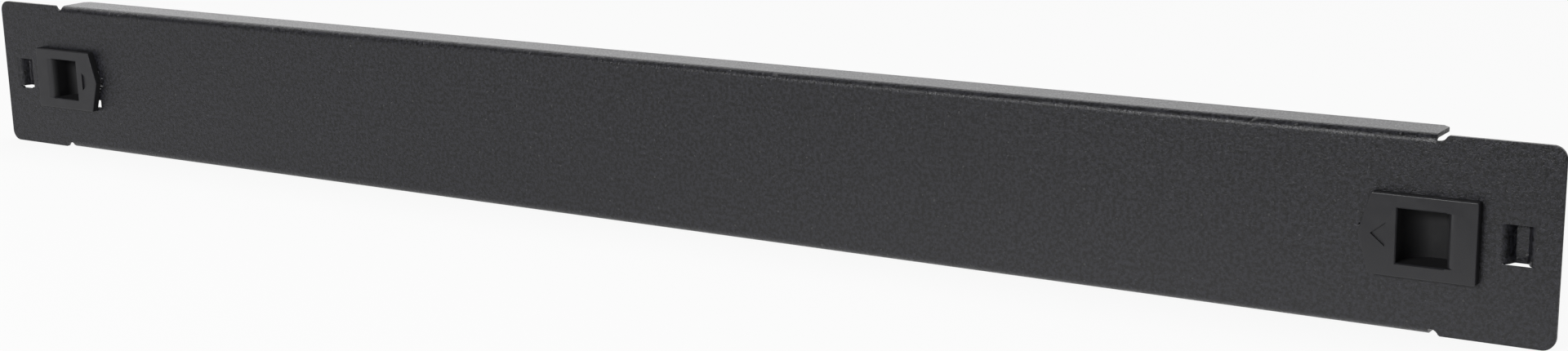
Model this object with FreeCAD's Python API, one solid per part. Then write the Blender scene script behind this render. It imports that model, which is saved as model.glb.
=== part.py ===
"""Rack blanking panel, one unit high, held by two sprung slide latches.

The panel is one folded steel sheet with an ear at each end. Each ear has a lanced lug
that enters a square rack hole, and beside it a moulded latch. A latch is a slider with
a finger pocket at the front, a bolt plate clipped to it behind the sheet, and a coil
spring that pushes both outwards, so that the bolt sits behind the rack rail.

Millimetres. X runs along the panel, Y runs from the front face to the rear, Z is up.
The shapes are drawn with Y = 0 on the front face, and are moved forwards by the sheet's
thickness when written, so that the origin is the middle of the plane that seats on the
rack rails. The right-hand latch is modelled, and the left-hand one is the same mouldings
turned half a turn about Y.
"""
import FreeCAD, Part
import math
import os

from FreeCAD import Vector

# The folded sheet
panel_length = 482.6
panel_height = 44.0
sheet = 1.0
ear_corner_radius = 3.0
ear_length = 27.4
flange_depth = 10.7
bend_inside_radius = 1.0
flange_corner_cut = 1.6
notch_radius = 2.0
notch_offset = 0.6
notch_rise = 0.6

# The rack rail, whose inner edge and square hole lie behind the ear
rail_cover = 16.3
rail_thickness = 2.0
lug_inset = 8.75

# The lanced lug on each ear
lug_crown = 2.75
lug_height = 9.1
lug_depth = 2.8
lug_angle = 66.0
lug_foot_radius = 1.1
lug_slit = 0.1
lug_flat = 0.15
lug_hold = 0.55
lance_radius = 0.4
left_relief_length = 4.6
left_relief_height = 0.45

# The slider's front plate, its finger pocket and its arrow
bezel_rail_gap = 0.5
bezel_border = 4.6
bezel_nose = 5.95
bezel_point = 2.65
bezel_cover = 1.0
bezel_thickness = 2.1
bezel_corner_radius = 0.5
bezel_edge_radius = 0.3
pocket_length = 12.95
pocket_height = 12.1
pocket_depth = 8.6
pocket_lip_radius = 2.2
pocket_scoop_radius = 3.0
pocket_foot_radius = 6.0
pocket_edge_cut = 0.25
cup_wall = 0.9
cup_edge_radius = 0.9
boss_height = 5.2
arrow_gap = 2.45
arrow_length = 3.3
arrow_height = 5.4
arrow_depth = 0.5
slide_clearance = 0.15

# The slider's guide shoes, driving pegs and snap barbs
shoe_height = 1.0
shoe_inset = 1.0
peg_length = 1.5
peg_height = 0.7
barb_length = 6.0
barb_height = 0.7
barb_depth = 1.2

# The bolt plate behind the sheet
plate_thickness = 2.0
plate_rim = 3.1
plate_corner_radius = 1.0
plate_fit = 0.1
bar_width = 2.8
bar_seat_gap = 0.3
finger_reach = 1.5
finger_gap = 0.4
window_rise = 1.6
riser_length = 2.8
tongue_height = 11.0
tongue_thickness = 2.0
tongue_gap = 0.35
tongue_lug_gap = 0.1
tongue_ramp = 1.6
rib_height = 1.0
rib_width = 1.2
rib_edge = 0.7

# The spring, its seat on the sheet and the slider's travel
travel = 4.2
spring_outer_diameter = 4.5
spring_wire = 0.4
spring_reserve = 0.2
spring_turns = 4.5
coil_steps = 4
spring_end_gap = 0.075
spring_clearance = 0.75
spigot_fit = 0.25
spigot_length = 1.6
seat_face_offset = 0.2
seat_neck = 2.0
seat_head = 4.4
seat_relief = 0.4
seat_relief_depth = 1.25
seat_head_start = 2.0
seat_margin = 0.45
seat_pip_fit = 0.65
seat_pip_height = 0.6
cutout_corner_radius = 1.2
cutout_end_height = 5.2
cutout_slant = 3.2
left_corner_height = 2.35
left_corner_reach = 0.2
latch_drop = 0.35

# Places worked out from the sizes above
half_length = panel_length / 2
half_height = panel_height / 2
half_flange = half_length - ear_length
bend_outside_radius = bend_inside_radius + sheet
rail_edge_x = half_length - rail_cover
lug_x = half_length - lug_inset
bezel_outer_x = rail_edge_x - bezel_rail_gap
pocket_outer_x = bezel_outer_x - bezel_border
bezel_rear = -slide_clearance
bezel_front = bezel_rear - bezel_thickness
pocket_inner_x = pocket_outer_x - pocket_length
pocket_wall_x = pocket_outer_x - pocket_lip_radius
pocket_floor = bezel_front + pocket_depth
cup_inner_x = pocket_inner_x - cup_wall
cup_outer_x = pocket_wall_x + cup_wall
cup_half_height = pocket_height / 2 + cup_wall
cup_rear = pocket_floor + cup_wall
plate_front = sheet + slide_clearance
plate_rear = plate_front + plate_thickness
window_outer_x = cup_outer_x + plate_fit
window_half_height = cup_half_height + plate_fit
peg_outer_x = cup_outer_x - shoe_inset
peg_inner_x = peg_outer_x - peg_length
peg_half_height = cup_half_height + peg_height
riser_outer_x = window_outer_x + riser_length
tongue_front = sheet + rail_thickness + tongue_gap
tongue_rear = tongue_front + tongue_thickness
spring_length = travel + (spring_turns + 1) * spring_wire + spring_reserve
spring_bore = spring_outer_diameter - 2 * spring_wire
seat_face_x = cup_inner_x - spring_length - 2 * spring_end_gap
bar_outer_x = seat_face_x - sheet - bar_seat_gap
bar_inner_x = bar_outer_x - bar_width
finger_end_x = seat_face_x + finger_reach
cutout_inner_x = seat_face_x - seat_face_offset
cutout_outer_x = cup_outer_x + slide_clearance
cutout_half_height = cup_half_height + shoe_height + slide_clearance
spring_y = plate_front + spring_clearance + spring_outer_diameter / 2 - slide_clearance
seat_end = spring_y + spring_outer_diameter / 2 + seat_margin
lug_slope = math.radians(lug_angle)
lug_crown_half = lug_crown / 2 + sheet / 2 * math.tan(lug_slope / 2)
lug_foot_half = lug_crown_half + lug_depth / math.tan(lug_slope)
lug_tangent = (lug_foot_radius + sheet / 2) * math.tan(lug_slope / 2)
lug_end_half = lug_foot_half + lug_tangent + lug_flat
lug_slot_half = lug_foot_half + lug_tangent - lug_hold
tongue_tip_x = lug_x - lug_end_half - tongue_lug_gap


def box(x0, x1, y0, y1, z0, z1):
    """A box between two corners, given as the two limits along each axis."""
    return Part.makeBox(x1 - x0, y1 - y0, z1 - z0, Vector(x0, y0, z0))


def prism_xz(points, y0, y1):
    """A flat outline of (x, z) points, carried from y0 to y1."""
    corners = [Vector(x, y0, z) for x, z in points]
    face = Part.Face(Part.makePolygon(corners + corners[:1]))
    return face.extrude(Vector(0, y1 - y0, 0))


def prism_xy(points, z0, z1):
    """A flat outline of (x, y) points, carried from z0 to z1."""
    corners = [Vector(x, y, z0) for x, y in points]
    face = Part.Face(Part.makePolygon(corners + corners[:1]))
    return face.extrude(Vector(0, 0, z1 - z0))


def arc_between(centre, start, end):
    """The short arc about centre from start to end, which lie at one distance from it."""
    middle = (start + end) * 0.5 - centre
    middle.normalize()
    return Part.Arc(start, centre + middle * start.distanceToPoint(centre), end).toShape()


def edges_along(shape, direction, test):
    """The straight edges along one axis whose middle point passes the test."""
    found = []
    for edge in shape.Edges:
        if not isinstance(edge.Curve, Part.Line):
            continue
        ends = [vertex.Point for vertex in edge.Vertexes]
        run = ends[1] - ends[0]
        if abs(abs(run.dot(direction)) - run.Length) < 1e-6 and test((ends[0] + ends[1]) * 0.5):
            found.append(edge)
    return found


def bent_strip(path, inside_radii, thickness, carry):
    """A strip of one thickness that follows a path with rounded bends.

    path holds the sharp corners of the strip's middle line, and inside_radii the radius
    inside each bend. Each bend becomes two arcs about one centre, and carry moves the
    section across the strip's width.
    """
    across = carry * (1 / carry.Length)
    left_side = []
    right_side = []
    start = path[0]
    for here, corner, after, inside_radius in zip(path, path[1:], path[2:], inside_radii):
        middle_radius = inside_radius + thickness / 2
        way_in = (corner - here) * (1 / (corner - here).Length)
        way_out = (after - corner) * (1 / (after - corner).Length)
        turn = math.acos(max(-1.0, min(1.0, way_in.dot(way_out))))
        tangent = middle_radius * math.tan(turn / 2)
        bend_start = corner - way_in * tangent
        bend_end = corner + way_out * tangent
        side_in = across.cross(way_in)
        side_out = across.cross(way_out)
        sign = 1 if side_in.dot(way_out) > 0 else -1
        centre = bend_start + side_in * (sign * middle_radius)
        for edges, shift in ((left_side, thickness / 2), (right_side, -thickness / 2)):
            edges.append(Part.makeLine(start + side_in * shift, bend_start + side_in * shift))
            edges.append(arc_between(centre, bend_start + side_in * shift, bend_end + side_out * shift))
        start = bend_end
    side = across.cross((path[-1] - start) * (1 / (path[-1] - start).Length))
    first_side = across.cross((path[1] - path[0]) * (1 / (path[1] - path[0]).Length))
    for edges, shift in ((left_side, thickness / 2), (right_side, -thickness / 2)):
        edges.append(Part.makeLine(start + side * shift, path[-1] + side * shift))
    left_end = path[-1] + side * (thickness / 2)
    right_end = path[-1] - side * (thickness / 2)
    left_start = path[0] + first_side * (thickness / 2)
    right_start = path[0] - first_side * (thickness / 2)
    caps = [Part.makeLine(left_end, right_end), Part.makeLine(right_start, left_start)]
    wire = Part.Wire(Part.__sortEdges__(left_side + caps + right_side))
    return Part.Face(wire).extrude(carry)


def half_turn(shape):
    """The same piece at the other end of the panel, turned half a turn about Y."""
    turned = shape.copy()
    turned.rotate(Vector(0, 0, 0), Vector(0, 1, 0), 180)
    return turned


def dropped(shape):
    """A copy lowered by the distance from the panel's middle to the latches' middle."""
    lowered = shape.copy()
    lowered.translate(Vector(0, 0, -latch_drop))
    return lowered


def folded_channel():
    """The middle of the sheet with its top and bottom flanges folded to the rear."""
    middle_z = half_height - sheet / 2
    path = [
        Vector(-half_flange, flange_depth, middle_z),
        Vector(-half_flange, sheet / 2, middle_z),
        Vector(-half_flange, sheet / 2, -middle_z),
        Vector(-half_flange, flange_depth, -middle_z),
    ]
    radii = [bend_inside_radius, bend_inside_radius]
    channel = bent_strip(path, radii, sheet, Vector(2 * half_flange, 0, 0))
    corners = edges_along(
        channel,
        Vector(0, 0, 1),
        lambda p: abs(p.y - flange_depth) < 1e-3 and abs(abs(p.x) - half_flange) < 1e-3,
    )
    return channel.makeChamfer(flange_corner_cut, corners)


def ear():
    """The right-hand ear, in two parts that meet where the rack rail's edge will lie."""
    plate = box(half_flange, half_length, 0, sheet, -half_height, half_height)
    outer = edges_along(plate, Vector(0, 1, 0), lambda p: p.x > half_length - 1e-3)
    plate = plate.makeFillet(ear_corner_radius, outer)
    rail_side = box(rail_edge_x, half_length + 1, -1, sheet + 1, -half_height, half_height)
    return [plate.cut(rail_side), plate.common(rail_side)]


def relief_notches():
    """The round notches in the right-hand ear, which stop at the ends of the two flanges."""
    notch_x = half_flange + notch_offset
    notch_z = half_height + notch_rise
    beside = box(half_flange, half_length, -1, sheet + 1, -2 * half_height, 2 * half_height)
    cuts = []
    for z in (notch_z, -notch_z):
        notch = Part.makeCylinder(notch_radius, sheet + 2, Vector(notch_x, -1, z), Vector(0, 1, 0))
        cuts.append(notch.common(beside))
    return cuts


def latch_cutout():
    """The window that the right-hand latch slides in, and the slots beside its spring seat."""
    slant_x = cutout_inner_x + cutout_slant
    outline = [
        (cutout_inner_x, -cutout_end_height / 2),
        (cutout_inner_x, cutout_end_height / 2),
        (slant_x, cutout_half_height),
        (cutout_outer_x, cutout_half_height),
        (cutout_outer_x, -cutout_half_height),
        (slant_x, -cutout_half_height),
    ]
    window = prism_xz(outline, -1, sheet + 1)
    corners = edges_along(window, Vector(0, 1, 0), lambda p: True)
    window = window.makeFillet(cutout_corner_radius, corners)
    relief_half = seat_neck / 2 + seat_relief
    relief = box(
        cutout_inner_x - seat_relief_depth,
        cutout_inner_x + cutout_corner_radius,
        -1,
        sheet + 1,
        -relief_half,
        relief_half,
    )
    return window.fuse(relief)


def left_window_corner():
    """The lower inner corner of the left-hand window, which is cut square and shows light."""
    inner_x = -cutout_inner_x + left_corner_reach
    corner = box(
        -cutout_inner_x - cutout_slant,
        inner_x,
        -1,
        sheet + 1,
        -cutout_half_height,
        -cutout_half_height + left_corner_height,
    )
    inner = edges_along(corner, Vector(0, 1, 0), lambda p: p.x > inner_x - 1e-3)
    low = [edge for edge in inner if edge.BoundBox.ZMax < -cutout_half_height + 1e-3]
    return corner.makeFillet(cutout_corner_radius, low)


def spring_seat():
    """A tee-shaped tab folded to the rear at the window's inner end, with a pressed pip."""
    middle_x = seat_face_x - sheet / 2
    root_x = cutout_inner_x - seat_relief_depth
    path = [
        Vector(root_x, sheet / 2, -seat_neck / 2),
        Vector(middle_x, sheet / 2, -seat_neck / 2),
        Vector(middle_x, seat_end, -seat_neck / 2),
    ]
    neck = bent_strip(path, [lance_radius], sheet, Vector(0, 0, seat_neck))
    head = box(
        seat_face_x - sheet, seat_face_x, seat_head_start, seat_end, -seat_head / 2, seat_head / 2
    )
    pip = Part.makeCylinder(
        spring_bore / 2 - seat_pip_fit,
        seat_pip_height + sheet / 2,
        Vector(middle_x, spring_y, 0),
        Vector(1, 0, 0),
    )
    return neck.fuse([head, pip])


def lug_slot():
    """The hole that the lanced lug of the right-hand ear is sheared from."""
    return box(
        lug_x - lug_slot_half,
        lug_x + lug_slot_half,
        -1,
        sheet + 1,
        -lug_height / 2,
        lug_height / 2,
    )


def left_lug_relief():
    """The wider cut under the left-hand lug, which shows as a bright slot."""
    relief = box(
        -lug_x - left_relief_length / 2,
        -lug_x + left_relief_length / 2,
        -1,
        sheet + 1,
        -lug_height / 2 - left_relief_height,
        -lug_height / 2 + lug_slit / 2,
    )
    low_corners = edges_along(relief, Vector(0, 1, 0), lambda p: p.z < -lug_height / 2)
    return relief.makeFillet(left_relief_height * 0.8, low_corners)


def lug():
    """The bridge pressed back from the right-hand ear, which enters a square rack hole."""
    low = -lug_height / 2 + lug_slit
    crown_y = lug_depth + sheet / 2
    path = [
        Vector(lug_x - lug_end_half, sheet / 2, low),
        Vector(lug_x - lug_foot_half, sheet / 2, low),
        Vector(lug_x - lug_crown_half, crown_y, low),
        Vector(lug_x + lug_crown_half, crown_y, low),
        Vector(lug_x + lug_foot_half, sheet / 2, low),
        Vector(lug_x + lug_end_half, sheet / 2, low),
    ]
    radii = [lug_foot_radius, lance_radius, lance_radius, lug_foot_radius]
    return bent_strip(path, radii, sheet, Vector(0, 0, lug_height - 2 * lug_slit))


def panel():
    """The whole sheet: channel, ears, notches, latch windows, spring seats and lugs."""
    ear_parts = ear()
    body = folded_channel().fuse(ear_parts + [half_turn(part) for part in ear_parts])
    window = latch_cutout()
    cuts = relief_notches() + [lug_slot()]
    cuts += [half_turn(cut) for cut in cuts] + [left_lug_relief()]
    cuts += [dropped(cut) for cut in (window, half_turn(window), left_window_corner())]
    body = body.cut(cuts)
    seat = spring_seat()
    pressed = [lug(), half_turn(lug()), dropped(seat), dropped(half_turn(seat))]
    return body.fuse(pressed)


def front_plate():
    """The slider's front plate: a house outline whose roof points to the panel's middle."""
    inner_x = pocket_inner_x - bezel_nose
    half = cutout_half_height + bezel_cover
    outline = [
        (bezel_outer_x, -half),
        (bezel_outer_x, half),
        (inner_x, half),
        (inner_x - bezel_point, 0),
        (inner_x, -half),
    ]
    plate = prism_xz(outline, bezel_front, bezel_rear)
    uprights = edges_along(plate, Vector(0, 1, 0), lambda p: True)
    plate = plate.makeFillet(bezel_corner_radius, uprights)
    rim = [
        edge
        for edge in plate.Edges
        if all(abs(vertex.Point.y - bezel_front) < 1e-6 for vertex in edge.Vertexes)
    ]
    return plate.makeFillet(bezel_edge_radius, rim)


def cup():
    """The outside of the finger pocket, with a boss that backs the spring's end."""
    shell = box(
        cup_inner_x,
        cup_outer_x,
        bezel_rear - bezel_thickness / 2,
        cup_rear,
        -cup_half_height,
        cup_half_height,
    )
    scoop = edges_along(
        shell, Vector(0, 0, 1), lambda p: p.x > cup_outer_x - 1e-3 and p.y > cup_rear - 1e-3
    )
    shell = shell.makeFillet(pocket_scoop_radius + cup_wall, scoop)
    boss = shell.common(
        box(cup_inner_x, pocket_wall_x, bezel_rear, cup_rear, -boss_height / 2, boss_height / 2)
    )

    def foot(shape):
        return edges_along(
            shape, Vector(0, 0, 1), lambda p: p.x < cup_inner_x + 1e-3 and p.y > cup_rear - 1e-3
        )

    shell = shell.makeFillet(pocket_foot_radius + cup_wall, foot(shell))
    return shell.fuse(boss.makeFillet(cup_edge_radius, foot(boss)))


def pocket():
    """The space of the finger pocket: a wide curve up to its inner wall, and a rolled outer lip."""
    low = -pocket_height / 2
    mouth = bezel_front - 1
    foot = pocket_foot_radius
    scoop = pocket_scoop_radius
    lip = pocket_lip_radius

    def at(x, y):
        return Vector(x, y, low)

    edges = [
        Part.makeLine(at(pocket_outer_x, mouth), at(pocket_inner_x, mouth)),
        Part.makeLine(at(pocket_inner_x, mouth), at(pocket_inner_x, pocket_floor - foot)),
        arc_between(
            at(pocket_inner_x + foot, pocket_floor - foot),
            at(pocket_inner_x, pocket_floor - foot),
            at(pocket_inner_x + foot, pocket_floor),
        ),
        Part.makeLine(
            at(pocket_inner_x + foot, pocket_floor), at(pocket_wall_x - scoop, pocket_floor)
        ),
        arc_between(
            at(pocket_wall_x - scoop, pocket_floor - scoop),
            at(pocket_wall_x - scoop, pocket_floor),
            at(pocket_wall_x, pocket_floor - scoop),
        ),
        Part.makeLine(at(pocket_wall_x, pocket_floor - scoop), at(pocket_wall_x, bezel_front + lip)),
        arc_between(
            at(pocket_outer_x, bezel_front + lip),
            at(pocket_wall_x, bezel_front + lip),
            at(pocket_outer_x, bezel_front),
        ),
        Part.makeLine(at(pocket_outer_x, bezel_front), at(pocket_outer_x, mouth)),
    ]
    space = Part.Face(Part.Wire(edges)).extrude(Vector(0, 0, pocket_height))
    return space.fuse(pocket_edge())


def pocket_edge():
    """The small slope round the pocket's mouth, on every side but the rolled lip."""
    loops = []
    for y, grow in ((bezel_front, pocket_edge_cut), (bezel_front + pocket_edge_cut, 0)):
        x0 = pocket_inner_x - grow
        half = pocket_height / 2 + grow
        corners = [
            Vector(x0, y, -half),
            Vector(pocket_wall_x, y, -half),
            Vector(pocket_wall_x, y, half),
            Vector(x0, y, half),
        ]
        loops.append(Part.makePolygon(corners + corners[:1]))
    return Part.makeLoft(loops, True, True)


def arrow():
    """The sunk arrowhead that points the way the latch is pushed to free it."""
    half = arrow_height / 2
    arrow_base_x = pocket_inner_x - arrow_gap
    outline = [
        (arrow_base_x, -half),
        (arrow_base_x, half),
        (arrow_base_x - arrow_length, 0),
    ]
    return prism_xz(outline, bezel_front - 1, bezel_front + arrow_depth)


def shoes_and_barbs():
    """The shoes that run in the sheet's window, the pegs that drive the bolt and its barbs."""
    barb_middle_x = (cup_inner_x + cup_outer_x) / 2
    pieces = []
    for side in (1, -1):
        z0, z1 = sorted((side * (cup_half_height - cup_wall / 2), side * (cup_half_height + shoe_height)))
        pieces.append(
            box(
                cup_inner_x + shoe_inset,
                cup_outer_x - shoe_inset,
                bezel_rear - bezel_thickness / 2,
                plate_front,
                z0,
                z1,
            )
        )
        z0, z1 = sorted((side * (cup_half_height - cup_wall / 2), side * peg_half_height))
        pieces.append(box(peg_inner_x, peg_outer_x, bezel_rear, plate_rear, z0, z1))
        wedge = [
            Vector(barb_middle_x - barb_length / 2, plate_rear, side * (cup_half_height - cup_wall / 2)),
            Vector(barb_middle_x - barb_length / 2, plate_rear, side * (cup_half_height + barb_height)),
            Vector(barb_middle_x - barb_length / 2, plate_rear + barb_depth, side * cup_half_height),
            Vector(
                barb_middle_x - barb_length / 2,
                plate_rear + barb_depth,
                side * (cup_half_height - cup_wall / 2),
            ),
        ]
        face = Part.Face(Part.makePolygon(wedge + wedge[:1]))
        pieces.append(face.extrude(Vector(barb_length, 0, 0)))
    return pieces


def slider():
    """The latch's front moulding: plate, cup, shoes, barbs and the spring's spigot."""
    spigot = Part.makeCylinder(
        spring_bore / 2 - spigot_fit,
        spigot_length + cup_wall / 2,
        Vector(cup_inner_x + cup_wall / 2, spring_y, 0),
        Vector(-1, 0, 0),
    )
    body = front_plate().fuse([cup(), spigot] + shoes_and_barbs())
    return body.removeSplitter().cut([pocket(), arrow()])


def bolt_windows():
    """The openings in the bolt plate: for the cup, its pegs, the spring and the spring's seat."""

    def through(x0, x1, half):
        return box(x0, x1, plate_front - 1, plate_rear + 1, -half, half)

    cup_window = through(cup_inner_x - plate_fit, window_outer_x, window_half_height)
    spring_window = through(finger_end_x, cup_inner_x, window_half_height + window_rise)
    peg_slots = through(peg_inner_x - plate_fit, peg_outer_x + plate_fit, peg_half_height + plate_fit)
    seat_slot = through(bar_outer_x, cup_inner_x, seat_head / 2 + finger_gap)
    return [cup_window, peg_slots, spring_window, seat_slot]


def bolt():
    """The rear moulding: a plate round the cup, with the tongue that sits behind the rail."""
    half = window_half_height + plate_rim
    plate = box(bar_inner_x, riser_outer_x, plate_front, plate_rear, -half, half)
    corners = edges_along(plate, Vector(0, 1, 0), lambda p: True)
    plate = plate.makeFillet(plate_corner_radius, corners)
    ramp_foot = min(tongue_ramp, tongue_thickness * 0.8)
    section = [
        (window_outer_x, plate_front),
        (window_outer_x, tongue_rear),
        (tongue_tip_x - tongue_ramp, tongue_rear),
        (tongue_tip_x, tongue_rear - ramp_foot),
        (tongue_tip_x, tongue_front),
        (riser_outer_x, tongue_front),
        (riser_outer_x, plate_front),
    ]
    tongue = prism_xy(section, -tongue_height / 2, tongue_height / 2)
    ribs = []
    for side in (1, -1):
        edge_z = side * (half - rib_edge)
        z0, z1 = sorted((edge_z, edge_z - side * rib_width))
        ribs.append(
            box(
                cup_inner_x,
                riser_outer_x - rib_edge,
                plate_rear - plate_thickness / 2,
                plate_rear + rib_height,
                z0,
                z1,
            )
        )
    return plate.cut(bolt_windows()).fuse([tongue] + ribs).removeSplitter()


def tangent_arc(start, way, end):
    """The arc that leaves start along the unit vector way and ends at end."""
    chord = end - start
    side = chord - way * chord.dot(way)
    side.normalize()
    radius = chord.dot(chord) / (2 * chord.dot(side))
    return arc_between(start + side * radius, start, end)


def spring():
    """The coil between the sheet's seat and the slider, drawn at its length at rest.

    Its centre line is a helix made of arcs. Each step round it is two arcs that run into
    one another, so that the wire's surface is a chain of short torus pieces.
    """
    radius = (spring_outer_diameter - spring_wire) / 2
    start_x = seat_face_x + spring_end_gap + spring_wire / 2
    full_angle = 2 * math.pi * spring_turns
    lead = (spring_length - spring_wire) / full_angle
    slant = math.hypot(radius, lead)
    steps = math.ceil(spring_turns * coil_steps)

    def at(angle):
        x = start_x + lead * angle
        return Vector(x, spring_y + radius * math.cos(angle), radius * math.sin(angle))

    def way(angle):
        turn = radius / slant
        return Vector(lead / slant, -turn * math.sin(angle), turn * math.cos(angle))

    arcs = []
    for step in range(steps):
        angle = full_angle * step / steps
        after = full_angle * (step + 1) / steps
        chord = at(after) - at(angle)
        along = chord.dot(way(angle) + way(after))
        bend = 2 * (1 - way(angle).dot(way(after)))
        reach = (math.sqrt(along * along + bend * chord.dot(chord)) - along) / bend
        joint = (at(angle) + way(angle) * reach + at(after) - way(after) * reach) * 0.5
        arcs.append(tangent_arc(at(angle), way(angle), joint))
        arcs.append(tangent_arc(at(after), way(after) * -1, joint))
    section = Part.Face(Part.Wire(Part.makeCircle(spring_wire / 2, at(0), way(0))))
    return Part.Wire(Part.__sortEdges__(arcs)).makePipe(section)


def write(name, shape):
    """Moves one piece to the rail plane, prints its volume and writes parts/NAME.step."""
    solid = shape.Solids[0].copy()
    solid.translate(Vector(0, -sheet, 0))
    print(name, "valid", solid.isValid(), "solids", len(shape.Solids), "mm3", round(solid.Volume, 1))
    solid.exportStep("parts/" + name + ".step")


os.makedirs("parts", exist_ok=True)
write("panel", panel())
for piece_name, piece in (
    ("latch_slider", slider()),
    ("latch_bolt", bolt()),
    ("latch_spring", spring()),
):
    write(piece_name + "_right", dropped(piece))
    write(piece_name + "_left", dropped(half_turn(piece)))
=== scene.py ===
"""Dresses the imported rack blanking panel: its powder-coated sheet, moulded latches and springs."""

import math

import bmesh
import bpy
import numpy as np
from mathutils import Euler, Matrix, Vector
from mathutils.geometry import delaunay_2d_cdt


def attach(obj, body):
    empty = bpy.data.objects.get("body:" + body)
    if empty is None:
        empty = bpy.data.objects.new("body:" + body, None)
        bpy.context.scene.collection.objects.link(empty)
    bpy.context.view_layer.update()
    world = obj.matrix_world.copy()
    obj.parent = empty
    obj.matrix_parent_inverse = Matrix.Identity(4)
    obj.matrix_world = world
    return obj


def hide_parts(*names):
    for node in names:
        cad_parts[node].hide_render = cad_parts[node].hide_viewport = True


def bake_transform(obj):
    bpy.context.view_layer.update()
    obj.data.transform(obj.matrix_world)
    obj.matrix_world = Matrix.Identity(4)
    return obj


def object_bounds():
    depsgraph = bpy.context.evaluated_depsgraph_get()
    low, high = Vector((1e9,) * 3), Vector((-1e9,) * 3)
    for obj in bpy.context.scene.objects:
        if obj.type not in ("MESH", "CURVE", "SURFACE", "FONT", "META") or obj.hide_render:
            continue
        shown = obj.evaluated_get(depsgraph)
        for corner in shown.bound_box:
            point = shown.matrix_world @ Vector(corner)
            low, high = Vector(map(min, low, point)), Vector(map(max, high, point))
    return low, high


bl_info = {
    "name": "Rack Blanking Panel Dresser",
    "version": (1, 0, 0),
    "blender": (4, 5, 0),
    "location": "3D View > Sidebar > Blanking Panel",
    "description": "Finishes a folded blanking panel with powder coat, moulded latches and springs",
    "category": "Object",
}

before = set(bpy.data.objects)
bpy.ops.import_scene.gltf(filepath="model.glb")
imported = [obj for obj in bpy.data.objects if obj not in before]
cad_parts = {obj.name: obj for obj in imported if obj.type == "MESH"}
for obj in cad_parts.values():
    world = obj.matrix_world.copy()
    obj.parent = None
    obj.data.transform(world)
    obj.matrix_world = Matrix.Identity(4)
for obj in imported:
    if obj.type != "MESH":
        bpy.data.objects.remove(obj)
cad_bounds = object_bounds()

SIDES = (("right", 1), ("left", -1))
QUARTER = math.pi / 2
WHITE = (1, 1, 1)


def metres(name, description, default):
    """A length that the sidebar shows."""
    return bpy.props.FloatProperty(
        name=name, description=description, default=default, unit="LENGTH", precision=5, min=0)


def share(name, description, default):
    """A number from 0 to 1 that the sidebar shows as a slider."""
    return bpy.props.FloatProperty(
        name=name, description=description, default=default, subtype="FACTOR", min=0, max=1)


def tint(name, description, default):
    """A colour that the sidebar shows."""
    return bpy.props.FloatVectorProperty(
        name=name, description=description, default=default, subtype="COLOR", size=3, min=0, max=1)


class SheetSettings(bpy.types.PropertyGroup):
    """The folded sheet's outline and bends"""

    overall: metres("Length", "Overall length of the sheet, ear to ear", 0.4826)
    height: metres("Height", "Height of the sheet, flange to flange", 0.044)
    thickness: metres("Thickness", "Thickness of the sheet", 0.001)
    ear: metres("Ear length", "How far each ear stands out past the flanges", 0.0274)
    ear_corner: metres("Ear corner", "Radius of the ears' corners", 0.003)
    flange: metres("Flange depth", "Depth of the flanges from the front face", 0.0107)
    flange_corner: metres("Flange corner", "Length cut off the flanges' corners", 0.0016)
    bend: metres("Bend radius", "Radius inside the flanges' bends", 0.001)
    notch: metres("Notch radius", "Radius of the relief notches", 0.002)
    notch_offset: metres("Notch offset", "From the end of a flange to its notch's centre", 0.0006)
    notch_rise: metres("Notch rise", "From the ear's edge to the notch's centre", 0.0006)
    ease: metres("Notch ease", "Length taken off the corner between a notch and the ear's edge", 0.0003)
    edge: metres("Edge radius", "Rounding of the sheet's cut edges under the coat", 0.00005)
    guard: metres("Guard width", "Width of the rim of small faces along each edge", 0.0004)


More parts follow.
